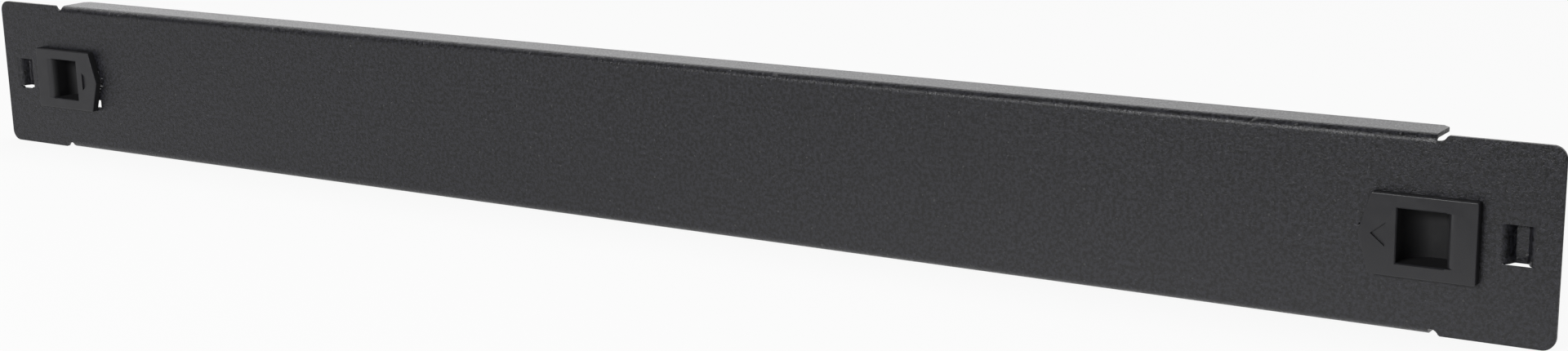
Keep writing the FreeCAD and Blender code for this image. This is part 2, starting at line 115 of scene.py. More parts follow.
class CutSettings(bpy.types.PropertyGroup):
    """The latch windows, the spring seats and the lanced lugs"""

    window_inner: metres("Window start", "From the middle to a latch window's inner end", 0.1991)
    window_outer: metres("Window end", "From the middle to a latch window's outer end", 0.21875)
    window_half: metres("Window half height", "Half the height of a latch window", 0.0081)
    window_corner: metres("Window corner", "Radius of a latch window's corners", 0.0012)
    window_end: metres("Window end half height", "Half the height of a window's straight inner end", 0.0026)
    window_slant: metres("Window slant", "Length of the window's slanted inner corners", 0.0032)
    square_corner: metres("Square corner", "Height of the left window's square lower corner", 0.00235)
    square_reach: metres("Square reach", "How far that corner runs past the window's inner end", 0.0002)
    drop_latch: metres("Latch drop", "From the sheet's middle line down to the latches' middle", 0.00035)
    relief_depth: metres("Relief depth", "Length of the slots beside the spring seat", 0.00125)
    relief_half: metres("Relief half height", "From the middle line to those slots' outer side", 0.0014)
    lance: metres("Lance radius", "Radius inside the small bends", 0.0004)
    seat_face: metres("Seat face", "From the middle to the face that carries the spring", 0.1993)
    neck_half: metres("Neck half height", "Half the height of the seat's neck", 0.001)
    head_half: metres("Head half height", "Half the height of the seat's head", 0.0022)
    head_start: metres("Head start", "From the rear face to the seat's head", 0.001)
    seat_end: metres("Seat end", "From the rear face to the seat's far end", 0.0057)
    pip: metres("Pip radius", "Radius of the pip that centres the spring", 0.0012)
    pip_height: metres("Pip height", "Height of the pip that centres the spring", 0.0006)
    lug_middle: metres("Lug place", "From the middle to a lug's middle", 0.23255)
    lug_half: metres("Lug half height", "Half the height of a lug's slot", 0.00455)
    lug_slit: metres("Lug slit", "Gap above and below a lug", 0.0001)
    lug_crown: metres("Lug crown", "Length of a lug's flat crown", 0.00275)
    lug_depth: metres("Lug depth", "How far a lug stands back", 0.0028)
    lug_angle: bpy.props.FloatProperty(
        name="Lug angle", description="Slope of a lug's walls",
        default=math.radians(66), subtype="ANGLE")
    lug_foot: metres("Lug foot radius", "Radius inside the bends at a lug's foot", 0.0011)
    lug_flat: metres("Lug flat", "Flat length at each end of a lug", 0.00015)
    lug_hold: metres("Lug hold", "How far a lug's feet run on past its slits", 0.00055)
    drop_half: metres("Left drop half length", "Half the length of the cut under the left lug", 0.0023)
    drop: metres("Left drop", "Height of the cut under the left lug", 0.00045)
    drop_round: share("Left drop rounding", "Share of that height that rounds its corners", 0.8)


class SpringSettings(bpy.types.PropertyGroup):
    """The latches' coil springs"""

    start: metres("Start", "From the middle to the spring's inner end", 0.1995)
    end: metres("End", "From the middle to the spring's outer end", 0.2059)
    depth: metres("Depth", "From the rear face to the spring's axis", 0.003)
    drop: metres("Drop", "From the sheet's middle line down to the spring's axis", 0.00035)
    diameter: metres("Outer diameter", "Outer diameter of the coil", 0.0045)
    wire: metres("Wire", "Diameter of the wire", 0.0004)
    turns: bpy.props.FloatProperty(name="Turns", description="Turns of the coil", default=4.5)
    end_closing: share("Closed ends", "How far the coil's pitch closes up at its ends", 0.55)
    reach: metres("Reach", "How far past its ends the coil's squeeze is spread", 0.0015)


class FinishSettings(bpy.types.PropertyGroup):
    """The coat, the nylon and the wire"""

    coat: tint("Coat colour", "Colour of the powder coat", (0.0096, 0.0096, 0.0128))
    coat_roughness: share("Coat roughness", "Roughness of the powder coat between its grains", 0.36)
    grain: metres("Grain size", "Width of one grain of the powder coat", 0.0005)
    grain_depth: metres("Grain depth", "Height of the grains as the bump sees them", 0.00013)
    mottle_dark: share("Dark grains", "Brightness of the darkest grains beside the coat colour", 0.1)
    mottle_light: bpy.props.FloatProperty(
        name="Light grains", description="Brightness of the lightest grains beside the coat colour",
        default=2.1, min=0)
    nib: tint("Nib colour", "Colour of the sparse pale nibs", (0.06, 0.06, 0.06))
    cloud: metres("Cloud size", "Width of the soft uneven patches in the coat", 0.06)
    nylon: tint("Nylon colour", "Colour of the sliders and bolts", (0.0158, 0.0158, 0.0185))
    nylon_roughness: share("Nylon roughness", "Roughness of the moulded skin", 0.36)
    nylon_edge: metres("Moulded edge radius", "Rounding of the bolts' edges", 0.00012)
    recess_roughness: share("Recess roughness", "Roughness of the coarser skin behind the front", 0.68)
    # Painted shade: the share by which the nylon's colour is darkened deep in the pocket and behind the
    # front, from the skin break on
    recess_painted_shade: share("Recess shade", "How far the coarser skin is darkened", 0.6)
    skin_and_shade_break: bpy.props.FloatProperty(
        name="Skin break", description="Where the coarser skin starts, along Y", default=-0.0025,
        unit="LENGTH", precision=5)
    skin: metres("Skin size", "Width of one pit in the moulded skin", 0.00022)
    skin_depth: metres("Skin depth", "Depth of the pits as the bump sees them", 0.00001)
    flow: metres("Flow size", "Width of the soft flow marks in the nylon", 0.004)
    wire: tint("Wire colour", "Colour of the spring wire", (0.16, 0.16, 0.165))
    drawing: metres("Drawing marks", "Width of the marks that drawing leaves on the wire", 0.0003)


class StageSettings(bpy.types.PropertyGroup):
    """The camera, the lamps' power and the ground"""

    camera_place: bpy.props.FloatVectorProperty(
        name="Camera place", description="Where the camera stands",
        default=(0.365994, -0.486659, 0.124781), subtype="TRANSLATION", size=3)
    camera_turn: bpy.props.FloatVectorProperty(
        name="Camera turn", description="The camera's turn about X, Y and Z",
        default=(math.radians(75.80823), math.radians(1.14763), math.radians(32.83148)),
        subtype="EULER", size=3)
    camera_lens: bpy.props.FloatProperty(
        name="Camera lens", description="Focal length in millimetres on a 36 mm wide sensor",
        default=54.4452)
    camera_shift: bpy.props.FloatProperty(
        name="Camera shift", description="Upward shift of the view, as a share of its width",
        default=0.04427)
    overhead_power: bpy.props.FloatProperty(
        name="Overhead power", description="Power of the overhead lamp in watts", default=8, min=0)
    front_power: bpy.props.FloatProperty(
        name="Front power", description="Power of the front lamp in watts", default=7.5, min=0)
    floor_side: metres("Floor side", "Side of the square floor", 12.0)
    dim_spot: bpy.props.FloatVectorProperty(
        name="Dim spot", description="The middle of the floor's dim part",
        default=(0.25, -0.45, -0.022), subtype="TRANSLATION", size=3)


GROUPS = {
    "blanking_sheet": SheetSettings,
    "blanking_cuts": CutSettings,
    "blanking_spring": SpringSettings,
    "blanking_finish": FinishSettings,
    "blanking_stage": StageSettings,
}


# Shader maths
class Socket:
    """A shader output that takes part in Python expressions, each adding a Math node."""

    def __init__(self, tree, output):
        self.tree = tree
        self.output = output

    def _math(self, operation, *values):
        return self.tree.node("ShaderNodeMath", {"operation": operation}, dict(enumerate(values)))

    def __add__(self, other):
        return self._math("ADD", self, other)

    def __radd__(self, other):
        return self._math("ADD", other, self)

    def __sub__(self, other):
        return self._math("SUBTRACT", self, other)

    def __rsub__(self, other):
        return self._math("SUBTRACT", other, self)

    def __mul__(self, other):
        return self._math("MULTIPLY", self, other)

    def __rmul__(self, other):
        return self._math("MULTIPLY", other, self)

    def clamp(self):
        """The value, kept from 0 to 1."""
        return self.tree.node("ShaderNodeClamp", {}, {"Value": self})


class Tree:
    """A node tree that is written as expressions."""

    def __init__(self, owner):
        owner.use_nodes = True
        self.nodes = owner.node_tree.nodes
        self.links = owner.node_tree.links
        self.nodes.clear()

    def node(self, kind, settings=None, values=None, output=0):
        """One node: its type, its settings, its sockets' values or links, and the output wanted."""
        made = self.nodes.new(kind)
        for name, value in (settings or {}).items():
            setattr(made, name, value)
        for name, value in (values or {}).items():
            socket = made.inputs[name]
            if isinstance(value, Socket):
                self.links.new(value.output, socket)
            elif socket.type == "RGBA" and len(value) == 3:
                socket.default_value = (*value, 1)
            else:
                socket.default_value = value
        return Socket(self, made.outputs[output]) if made.outputs else None

    def noise(self, size, detail=2.0, roughness=0.5):
        """Soft noise on the object whose lumps are about size metres wide."""
        place = self.node("ShaderNodeTexCoord", output="Object")
        values = {"Vector": place, "Scale": 1 / size, "Detail": detail, "Roughness": roughness}
        return self.node("ShaderNodeTexNoise", {}, values)

    def step(self, value, low, high, out_low=0.0, out_high=1.0):
        """value carried smoothly from out_low at low to out_high at high."""
        return self.node(
            "ShaderNodeMapRange", {"interpolation_type": "SMOOTHSTEP"},
            {"Value": value, "From Min": low, "From Max": high, "To Min": out_low, "To Max": out_high})

    def blend(self, factor, first, second):
        """The first colour where factor is 0, and the second where it is 1."""
        values = {0: factor, 6: first, 7: second}
        return self.node("ShaderNodeMix", {"data_type": "RGBA"}, values, output=2)

    def bump(self, height, distance):
        """The surface's normal, tipped as if height stood out by distance metres."""
        return self.node("ShaderNodeBump", {}, {"Height": height, "Distance": distance})


# Finishes

# The parts of a noise's range, from 0 to 1, over which a mask rises
SHARP_MIDDLE = (0.35, 0.65)
SOFT_MIDDLE = (0.3, 0.7)
RARE_PEAKS = (0.76, 0.84)


def new_material(name):
    """A material and its empty node tree."""
    material = bpy.data.materials.new(name)
    return material, Tree(material)


def finish_surface(tree, values):
    """A Principled surface with these socket values, joined to the output."""
    surface = tree.node("ShaderNodeBsdfPrincipled", {}, values)
    tree.node("ShaderNodeOutputMaterial", {}, {"Surface": surface})


def scaled(colour, amount):
    """A colour made lighter or darker."""
    return tuple(amount * part for part in colour)


def powder_coat(finish):
    """Satin black powder coat: dark and light grains, orange peel, pale nibs and soft clouds.

    The nibs are the few highest lumps of a noise. The grains' colour and roughness follow the
    middle of one's range.
    """
    material, tree = new_material("powder_coat")
    grain = tree.noise(finish.grain, detail=3.0, roughness=0.6)
    peel = tree.noise(finish.grain * 5, detail=1.0, roughness=0.4)
    cloud = tree.noise(finish.cloud)
    nib = tree.step(tree.noise(finish.grain * 2.0, detail=0.0, roughness=0.0), *RARE_PEAKS)
    mottle = tree.step(tree.noise(finish.grain * 1.8, roughness=0.6), *SHARP_MIDDLE)
    base = finish.coat[:]
    shade = tree.blend(mottle, scaled(base, finish.mottle_dark), scaled(base, finish.mottle_light))
    shade = tree.blend(cloud * 0.35, shade, scaled(base, 0.75))
    smoothest = finish.coat_roughness - 0.08
    roughest = finish.coat_roughness + 0.1
    finish_surface(tree, {
        "Base Color": tree.blend(nib * 0.7, shade, finish.nib[:]),
        "Roughness": tree.step(grain, *SOFT_MIDDLE, smoothest, roughest),
        "Normal": tree.bump(grain + peel * 0.7 + nib * 0.7, finish.grain_depth),
    })
    return material


def moulded_nylon(finish):
    """Black nylon with a fine spark-eroded skin, coarser in the pocket and behind the front, where its
    colour is also darkened as painted shade.

    The finer skin gives way to the coarser one, and the plain colour to the painted shade, across a narrow
    band of depth.
    """
    material, tree = new_material("moulded_nylon")
    pits = tree.noise(finish.skin, roughness=0.55)
    flow = tree.noise(finish.flow)
    place = tree.node("ShaderNodeTexCoord", output="Object")
    depth = tree.node("ShaderNodeSeparateXYZ", {}, {"Vector": place}, output=1)
    band = 0.00015
    recess = tree.step(depth, finish.skin_and_shade_break - band, finish.skin_and_shade_break + band)
    base = finish.nylon[:]
    colour = tree.blend(tree.step(pits, *SHARP_MIDDLE), scaled(base, 0.85), scaled(base, 1.15))
    colour = tree.blend(flow * 0.3, colour, scaled(base, 0.75))
    smoothest = finish.nylon_roughness - 0.04
    roughest = finish.nylon_roughness + 0.06
    fine_skin = tree.step(flow, *SOFT_MIDDLE, smoothest, roughest)
    finish_surface(tree, {
        # Painted shade: past the skin break the colour is blended towards a tenth of the nylon colour
        "Base Color": tree.blend(recess * finish.recess_painted_shade, colour, scaled(base, 0.1)),
        "Roughness": fine_skin + recess * (finish.recess_roughness - finish.nylon_roughness),
        "Normal": tree.bump(pits, finish.skin_depth),
    })
    return material


def spring_wire(finish):
    """Dark phosphated wire, with the fine marks of its drawing."""
    material, tree = new_material("spring_wire")
    drawn = tree.noise(finish.drawing)
    base = finish.wire[:]
    finish_surface(tree, {
        "Base Color": tree.blend(drawn, scaled(base, 0.7), scaled(base, 1.2)),
        "Metallic": 1.0,
        "Roughness": tree.step(drawn, *SOFT_MIDDLE, 0.32, 0.5),
    })
    return material


# Outlines
def rounded(corners, radii, count=7):
    """A closed loop round these corners, each replaced by an arc of its radius.

    The arc's centre lies on the line that halves the corner, at the radius over the sine of
    half the corner's angle. Its points turn evenly from one side's foot to the other's.
    """
    corners = np.array(corners, dtype=float)
    back = np.roll(corners, 1, axis=0) - corners
    ahead = np.roll(corners, -1, axis=0) - corners
    back /= np.linalg.norm(back, axis=1, keepdims=True)
    ahead /= np.linalg.norm(ahead, axis=1, keepdims=True)
    half = np.arccos(np.clip(np.sum(back * ahead, axis=1, keepdims=True), -1, 1)) / 2
    radii = np.array(radii, dtype=float)[:, None]
    middle = back + ahead
    centre = corners + middle / np.linalg.norm(middle, axis=1, keepdims=True) * radii / np.sin(half)
    first = corners + back * radii / np.tan(half) - centre
    last = corners + ahead * radii / np.tan(half) - centre
    turn = (math.pi - 2 * half)[:, None]
    part = np.linspace(0, 1, count)[None, :, None]
    way = np.sin((1 - part) * turn) * first[:, None] + np.sin(part * turn) * last[:, None]
    return centre[:, None] + way / np.sin(turn)


def arc(centre, radius, start, end, count):
    """Points of an arc: the centre plus the radius times the cosine and sine of even angles."""
    turn = np.radians(np.linspace(start, end, count))
    return np.column_stack((centre[0] + radius * np.cos(turn), centre[1] + radius * np.sin(turn)))


def smooth(value):
    """0 below 0, 1 above 1, and 3 v squared less 2 v cubed between."""
    value = np.clip(value, 0, 1)
    return value * value * (3 - 2 * value)


# The sheet before folding

# How many lines cut up a flange's bend, its fade at the notch, a seat's bend and a pip's rings
BEND_ROWS = 17
FADE_ROWS = 7
SEAT_ROWS = 9
PIP_POINTS = 33
# The share of a pip's radius over which its side slopes, inside that radius and outside it
PIP_SLOPE = 0.2


def bend_line(sheet):
    """How far above the middle line the flanges' bends start."""
    return sheet.height / 2 - sheet.bend - sheet.thickness


def bend_arc(sheet):
    """The middle surface's length round a quarter bend."""
    return (sheet.bend + sheet.thickness / 2) * QUARTER


def flange_top(sheet):
    """From the middle line to the flange's edge, along the sheet."""
    return bend_line(sheet) + bend_arc(sheet) + sheet.flange - sheet.bend - sheet.thickness


def blank_outline(sheet):
    """The sheet's outline before folding, in x and in s, the length along the sheet from its middle.

    One quarter of it runs from the flange's cut corner down to the relief notch, past the eased
    corner and on to the ear's corner, and the others are its mirror images.
    """
    end = sheet.overall / 2
    flange_end = end - sheet.ear
    half = sheet.height / 2
    top = flange_top(sheet)
    notch = (flange_end + sheet.notch_offset, half + sheet.notch_rise)
    start_angle = 180 + math.degrees(math.acos(sheet.notch_offset / sheet.notch))
    edge_angle = math.asin(sheet.notch_rise / sheet.notch)
    end_angle = 360 - math.degrees(edge_angle + sheet.ease / sheet.notch)
    edge_start = notch[0] + math.sqrt(sheet.notch ** 2 - sheet.notch_rise ** 2) + sheet.ease
    corner = (end - sheet.ear_corner, half - sheet.ear_corner)
    quarter = np.vstack((
        [(flange_end - sheet.flange_corner, top), (flange_end, top - sheet.flange_corner)],
        arc(notch, sheet.notch, start_angle, end_angle, count=32),
        [(edge_start, half)],
        arc(corner, sheet.ear_corner, 90, 0, count=16),
    ))
    right = np.vstack((quarter, quarter[::-1] * (1, -1)))
    return np.vstack((right, right[::-1] * (-1, 1)))


def seat_lengths(sheet, cuts):
    """Where the seat's bend, its straight part and its head start along the tab, and where it ends."""
    radius = cuts.lance + sheet.thickness / 2
    bend_start = cuts.seat_face - sheet.thickness / 2 - radius
    straight = bend_start + radius * QUARTER
    rise = radius - sheet.thickness / 2
    return bend_start, straight, straight + cuts.head_start - rise, straight + cuts.seat_end - rise


def window_hole(sheet, cuts, squared):
    """A latch window's edge, which also goes round the tee-shaped spring seat inside it.

    The window's inner corners are slanted. Where squared, the upper one is cut out square, with
    next to no radius. The left window is this one turned half round, so its lower one is square.
    """
    _, _, head, tip = seat_lengths(sheet, cuts)
    inner, outer, half, end = cuts.window_inner, cuts.window_outer, cuts.window_half, cuts.window_end
    radius = cuts.window_corner
    slant_end = inner + cuts.window_slant
    corners = [
        (outer, -half), (outer, half), (slant_end, half),
        (inner, end), (inner, -end), (slant_end, -half),
    ]
    radii = [radius] * len(corners)
    if squared:
        sharp = radius / 20
        nook = half - cuts.square_corner
        nook_x = inner + cuts.window_slant * (nook - end) / (half - end)
        edge = inner - cuts.square_reach
        corners[2:3] = [(edge, half), (edge, nook), (nook_x, nook)]
        radii[2:3] = [radius, sharp, sharp]
    loop = rounded(corners, radii)
    root = inner - cuts.relief_depth
    tee = np.array([
        (inner, cuts.relief_half), (root, cuts.relief_half), (root, cuts.neck_half),
        (head, cuts.neck_half), (head, cuts.head_half), (tip, cuts.head_half),
    ])
    return np.vstack((loop[:-2].reshape(-1, 2), tee, tee[::-1] * (1, -1), loop[-2:].reshape(-1, 2)))


def lug_profile(sheet, cuts):
    """Half of a lug's middle line, as distances from its middle and how far it stands back there.

    It is two arcs, round the crown's corner and round the foot, joined by the sloping wall.
    """
    slope = cuts.lug_angle
    degrees = math.degrees(slope)
    half_turn = math.tan(slope / 2)
    crown_radius = cuts.lance + sheet.thickness / 2
    foot_radius = cuts.lug_foot + sheet.thickness / 2
    crown_corner = cuts.lug_crown / 2 + sheet.thickness / 2 * half_turn
    foot_end = crown_corner + cuts.lug_depth / math.tan(slope) + foot_radius * half_turn
    crown_end = crown_corner - crown_radius * half_turn
    return np.vstack((
        arc((crown_end, cuts.lug_depth - crown_radius), crown_radius, 90, 90 - degrees, count=9),
        arc((foot_end, foot_radius), foot_radius, 270 - degrees, 270, count=12),
        [(foot_end + cuts.lug_flat, 0)],
    ))


def slit_holes(sheet, cuts, dropped):
    """The slits above and below a lug, which end before its feet do.

    Where dropped, the upper one opens into a wider cut. The left lug's holes are turned half
    round, so its wider cut is the lower one.
    """
    half_length = lug_profile(sheet, cuts)[-1, 0] - cuts.lug_flat - cuts.lug_hold
    low = cuts.lug_half - cuts.lug_slit
    high = cuts.lug_half
    corner = cuts.drop * cuts.drop_round
    drop_high = high + cuts.drop - corner
    drop_x = cuts.drop_half - corner
    wider = np.vstack((
        [(cuts.drop_half, high)],
        arc((drop_x, drop_high), corner, 0, 90, count=6),
        arc((-drop_x, drop_high), corner, 90, 180, count=6),
        [(-cuts.drop_half, high)],
    ))
    plain = np.array([
        (-half_length, low), (half_length, low), (half_length, high), (-half_length, high),
    ])
    upper = np.vstack((plain[:3], wider, plain[3:])) if dropped else plain
    middle = (cuts.lug_middle, 0)
    return [upper + middle, plain[::-1] * (1, -1) + middle]


def crossing_lines(places, low, high):
    """Straight lines across a strip, one at each place."""
    return [np.array([(place, low), (place, high)]) for place in places]


def guide_lines(sheet, cuts, spring):
    """Lines on the blank that its triangles must follow, so that its bends come out round."""
    flange_end = sheet.overall / 2 - sheet.ear
    notch_x = flange_end + sheet.notch_offset
    fade = np.linspace(flange_end, notch_x, FADE_ROWS)
    across = np.concatenate((-fade[::-1], fade))
    lines = []
    for height in bend_line(sheet) + bend_arc(sheet) * np.linspace(0, 1, BEND_ROWS):
        for side in (1, -1):
            lines.append(np.column_stack((across, np.full(across.size, side * height))))
    lines += guard_lines(sheet, cuts)
    bend_start, straight, head, _ = seat_lengths(sheet, cuts)
    places = (*np.linspace(bend_start, straight, SEAT_ROWS), head)
    seat = crossing_lines(places, -cuts.neck_half, cuts.neck_half)
    pip = (straight + pip_rise(cuts, spring), 0)
    for size in (1 - PIP_SLOPE, 1, 1 + PIP_SLOPE):
        seat.append(arc(pip, cuts.pip * size, 0, 360, PIP_POINTS))
    reach = cuts.lug_half - cuts.lug_slit
    profile = lug_profile(sheet, cuts)[:, 0]
    bridge = crossing_lines(np.concatenate((-profile, profile)) + cuts.lug_middle, -reach, reach)
    for line in seat:
        lines += [line - (0, cuts.drop_latch), -line - (0, cuts.drop_latch)]
    for line in bridge:
        lines += [line, -line]
    return lines


def guard_lines(sheet, cuts):
    """Lines a little way inside every edge and bend, so that shading stays flat past them.

    The ones round the notches stop short of the flange and of the ear's edge.
    """
    guard = sheet.guard
    end = sheet.overall / 2
    flange_end = end - sheet.ear
    half = sheet.height / 2
    along = np.array((-flange_end, flange_end))
    lines = []
    bend_end = bend_line(sheet) + bend_arc(sheet)
    for height in (bend_line(sheet) - guard, bend_end + guard, flange_top(sheet) - guard):
        for side in (1, -1):
            lines.append(np.column_stack((along, np.full(2, side * height))))
    notch = (flange_end + sheet.notch_offset, half + sheet.notch_rise)
    corner = (end - sheet.ear_corner, half - sheet.ear_corner)
    ear = np.vstack((
        arc(notch, sheet.notch + guard, 253, 322, count=12),
        arc(corner, sheet.ear_corner - guard, 90, 0, count=10),
    ))
    ear = np.vstack((ear, ear[::-1] * (1, -1)))
    root = cuts.window_inner - cuts.relief_depth - guard
    outer = cuts.window_outer + guard
    high = cuts.window_half + guard
    window = np.array([(root, -high), (outer, -high), (outer, high), (root, high), (root, -high)])
    wide = lug_profile(sheet, cuts)[-1, 0] + guard
    tall = cuts.lug_half + cuts.drop + guard
    lug = np.array([(-wide, -tall), (wide, -tall), (wide, tall), (-wide, tall), (-wide, -tall)])
    lug += (cuts.lug_middle, 0)
    for line in (ear, lug):
        lines += [line, -line]
    return lines + [window - (0, cuts.drop_latch), -window - (0, cuts.drop_latch)]


def pip_rise(cuts, spring):
    """From the end of the seat's bend to the pip's middle, which is on the spring's axis."""
    return spring.depth - cuts.lance


def within(points, loop):
    """Which points lie inside a loop.

    A point does if its ray to the right crosses the loop an odd number of times.
    """
    step = np.roll(loop, -1, axis=0) - loop
    rise = points[:, None, 1] - loop[None, :, 1]
    spans = (rise < 0) != (rise < step[None, :, 1])
    with np.errstate(divide="ignore", invalid="ignore"):
        crossing = loop[None, :, 0] + rise / step[None, :, 1] * step[None, :, 0]
    return np.sum(spans & (points[:, None, 0] < crossing), axis=1) % 2 == 1


def blank_triangles(sheet, cuts, spring):
    """The flat blank as points and triangles, with its holes left out."""
    outline = blank_outline(sheet)
    holes = []
    for name, side in SIDES:
        left = name == "left"
        holes.append(window_hole(sheet, cuts, left) * side - (0, cuts.drop_latch))
        holes += [hole * side for hole in slit_holes(sheet, cuts, left)]
    points = []
    edges = []
    count = 0
    for loop in [outline] + holes:
        index = np.arange(len(loop)) + count
        edges.append(np.column_stack((index, np.roll(index, -1))))
        points.append(loop)
        count += len(loop)
    for line in guide_lines(sheet, cuts, spring):
        index = np.arange(len(line)) + count
        edges.append(np.column_stack((index[:-1], index[1:])))
        points.append(line)
        count += len(line)
    whole_hull, same_place, with_origins = 0, 1e-8, False
    places, _, triangles, *_ = delaunay_2d_cdt(
        np.vstack(points).tolist(), np.vstack(edges).tolist(), [], whole_hull, same_place, with_origins)
    places = np.array([tuple(place) for place in places])
    triangles = np.array(triangles)
    middles = places[triangles].mean(axis=1)
    keep = within(middles, outline)
    for hole in holes:
        keep &= ~within(middles, hole)
    used, triangles = np.unique(triangles[keep], return_inverse=True)
    return places[used], triangles.reshape(-1, 3)


# Folding the sheet
def fold_blank(blank, sheet):
    """Carries the blank's points to the folded sheet's middle surface.

    A point at a length t past the bend line has turned by t over the bend's radius. Its chord
    is t times the sine of half that turn over half that turn, and points half the turn round.
    Past a quarter turn it runs straight back. The turn fades out across the relief notch.
    """
    x, s = blank.T
    away = np.abs(x)
    flange_end = sheet.overall / 2 - sheet.ear
    past = np.maximum(np.abs(s) - bend_line(sheet), 0)
    round_part = np.minimum(past, bend_arc(sheet))
    fade = smooth((flange_end + sheet.notch_offset - away) / sheet.notch_offset)
    turn = fade * round_part / (sheet.bend + sheet.thickness / 2)
    chord = round_part * np.sinc(turn / (2 * math.pi))
    straight = past - round_part
    z = np.minimum(np.abs(s), bend_line(sheet)) + chord * np.cos(turn / 2) + straight * np.cos(turn)
    y = chord * np.sin(turn / 2) + straight * np.sin(turn) - sheet.thickness / 2
    return np.column_stack((x, y, np.sign(s) * z))


def press_lugs(points, blank, sheet, cuts):
    """Sets the lugs back: between the slits, a point stands back as the lug's profile does there."""
    profile = lug_profile(sheet, cuts)
    along = np.abs(np.abs(blank[:, 0]) - cuts.lug_middle)
    rise = np.interp(along, profile[:, 0], profile[:, 1])
    pressed = np.abs(blank[:, 1]) < cuts.lug_half - cuts.lug_slit / 2
    points[:, 1] += np.where(pressed, rise, 0)


def fold_seats(points, blank, sheet, cuts, spring):
    """Folds the spring seats back.

    Past the bend's start, a tab's point turns by its length over the bend's radius, up to a
    quarter turn, and then runs straight back. The pip is a smooth step of the distance from
    its middle.
    """
    bend_start, straight, head, tip = seat_lengths(sheet, cuts)
    radius = cuts.lance + sheet.thickness / 2
    away = np.abs(blank[:, 0])
    lowered = blank[:, 1] + cuts.drop_latch
    reach = np.abs(lowered)
    hair = 1e-6
    in_neck = (away > bend_start) & (away < head) & (reach < cuts.neck_half + hair)
    in_head = (away > head - hair) & (away < tip + hair) & (reach < cuts.head_half + hair)
    tab = in_neck | in_head
    turn = np.clip((away - bend_start) / radius, 0, QUARTER)
    pip = np.hypot(away - straight - pip_rise(cuts, spring), lowered)
    bulge = cuts.pip_height * smooth((1 + PIP_SLOPE - pip / cuts.pip) / (2 * PIP_SLOPE))
    place = bend_start + radius * np.sin(turn) + bulge
    back = radius * (1 - np.cos(turn)) + np.maximum(away - straight, 0) - sheet.thickness / 2
    points[tab, 0] = (np.sign(blank[:, 0]) * place)[tab]
    points[tab, 1] = back[tab]


# Pieces
def new_piece(name, points, faces, material):
    """A smooth mesh object at the origin."""
    mesh = bpy.data.meshes.new(name)
    mesh.from_pydata(points.tolist(), [], faces)
    mesh.polygons.foreach_set("use_smooth", np.ones(len(mesh.polygons), dtype=bool))
    mesh.materials.append(material)
    piece = bpy.data.objects.new(name, mesh)
    bpy.context.scene.collection.objects.link(piece)
    return piece


def add_modifier(piece, kind, **settings):
    """A modifier with these settings."""
    modifier = piece.modifiers.new(kind.lower(), kind)
    for name, value in settings.items():
        setattr(modifier, name, value)


def soften_edges(piece, width, angle):
    """Rounds the edges that turn by more than an angle in degrees, and shades by face area."""
    add_modifier(
        piece, "BEVEL", width=width, segments=2, limit_method="ANGLE",
        angle_limit=math.radians(angle), use_clamp_overlap=False)
    add_modifier(piece, "WEIGHTED_NORMAL", keep_sharp=False, weight=100)


def coil_tube(spring, side, steps=180, sides=14):
    """A round tube along a helix, as points and faces.

    At the angle a, the centre line is at the radius times (cosine a, sine a) from its axis, and
    along the axis at p less a share of sine 2 pi p, where p is a over the whole angle, so that
    the end turns lie closer. The skin is that line plus the wire's radius times the cosine and
    sine of b along the outward and the sideways direction.
    """
    whole = 2 * math.pi * spring.turns
    part = np.linspace(0, 1, steps + 1)[:, None]
    angle = part * whole
    radius = (spring.diameter - spring.wire) / 2
    span = spring.end - spring.start - spring.wire
    eased = part - spring.end_closing * np.sin(2 * math.pi * part) / (2 * math.pi)
    lead = span * (1 - spring.end_closing * np.cos(2 * math.pi * part)) / whole
    slant = np.hypot(lead, radius)
    out = np.stack((np.zeros_like(angle), np.cos(angle), np.sin(angle)), axis=-1)
    round_way = np.stack((np.zeros_like(angle), -np.sin(angle), np.cos(angle)), axis=-1)
    along = np.array((1.0, 0.0, 0.0))
    sideways = (radius * along - lead[..., None] * round_way) / slant[..., None]
    centre = along * (spring.start + spring.wire / 2 + span * eased[..., None]) + radius * out
    b = np.linspace(0, 2 * math.pi, sides, endpoint=False)[None, :, None]
    skin = centre + spring.wire / 2 * (np.cos(b) * out + np.sin(b) * sideways)
    points = skin.reshape(-1, 3) * (side, 1, side) + (0, spring.depth, -spring.drop)
    row = np.arange(steps)[:, None] * sides
    here = np.arange(sides)[None, :]
    after = (here + 1) % sides
    quads = np.stack((row + here, row + sides + here, row + sides + after, row + after), axis=-1)
    caps = [list(range(sides)), list(range(steps * sides + sides - 1, steps * sides - 1, -1))]
    return points, quads.reshape(-1, 4).tolist() + caps


def dress(node, material):
    """Gives a carried-over CAD node one material."""
    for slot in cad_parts[node].material_slots:
        slot.material = material


def merged_copy(node, name, material):
    """A copy of a CAD node's mesh with its loose triangles joined and its flat faces made whole."""
    made = bmesh.new()
    made.from_mesh(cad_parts[node].data)
    bmesh.ops.remove_doubles(made, verts=made.verts, dist=1e-6)
    bmesh.ops.dissolve_limit(made, angle_limit=math.radians(2), verts=made.verts, edges=made.edges)
    made.verts.index_update()
    points = np.array([tuple(vertex.co) for vertex in made.verts])
    faces = [[vertex.index for vertex in face.verts] for face in made.faces]
    made.free()
    return new_piece(name, points, faces, material)


# Operators for the pieces
class FoldPanel(bpy.types.Operator):
    """Folds the sheet from its flat blank and coats it"""

    bl_idname = "blanking.fold_panel"
    bl_label = "Fold the Panel"

    def execute(self, context):
        sheet = context.scene.blanking_sheet
        cuts = context.scene.blanking_cuts
        spring = context.scene.blanking_spring
        blank, triangles = blank_triangles(sheet, cuts, spring)
        points = fold_blank(blank, sheet)
        press_lugs(points, blank, sheet, cuts)
        fold_seats(points, blank, sheet, cuts, spring)
        coat = powder_coat(context.scene.blanking_finish)
        piece = new_piece("panel_sheet", points, triangles.tolist(), coat)
        add_modifier(
            piece, "SOLIDIFY", thickness=sheet.thickness, offset=0, use_even_offset=True,
            use_quality_normals=True)
        soften_edges(piece, sheet.edge, angle=50)
        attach(piece, "panel")
        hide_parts("panel")
        return {"FINISHED"}


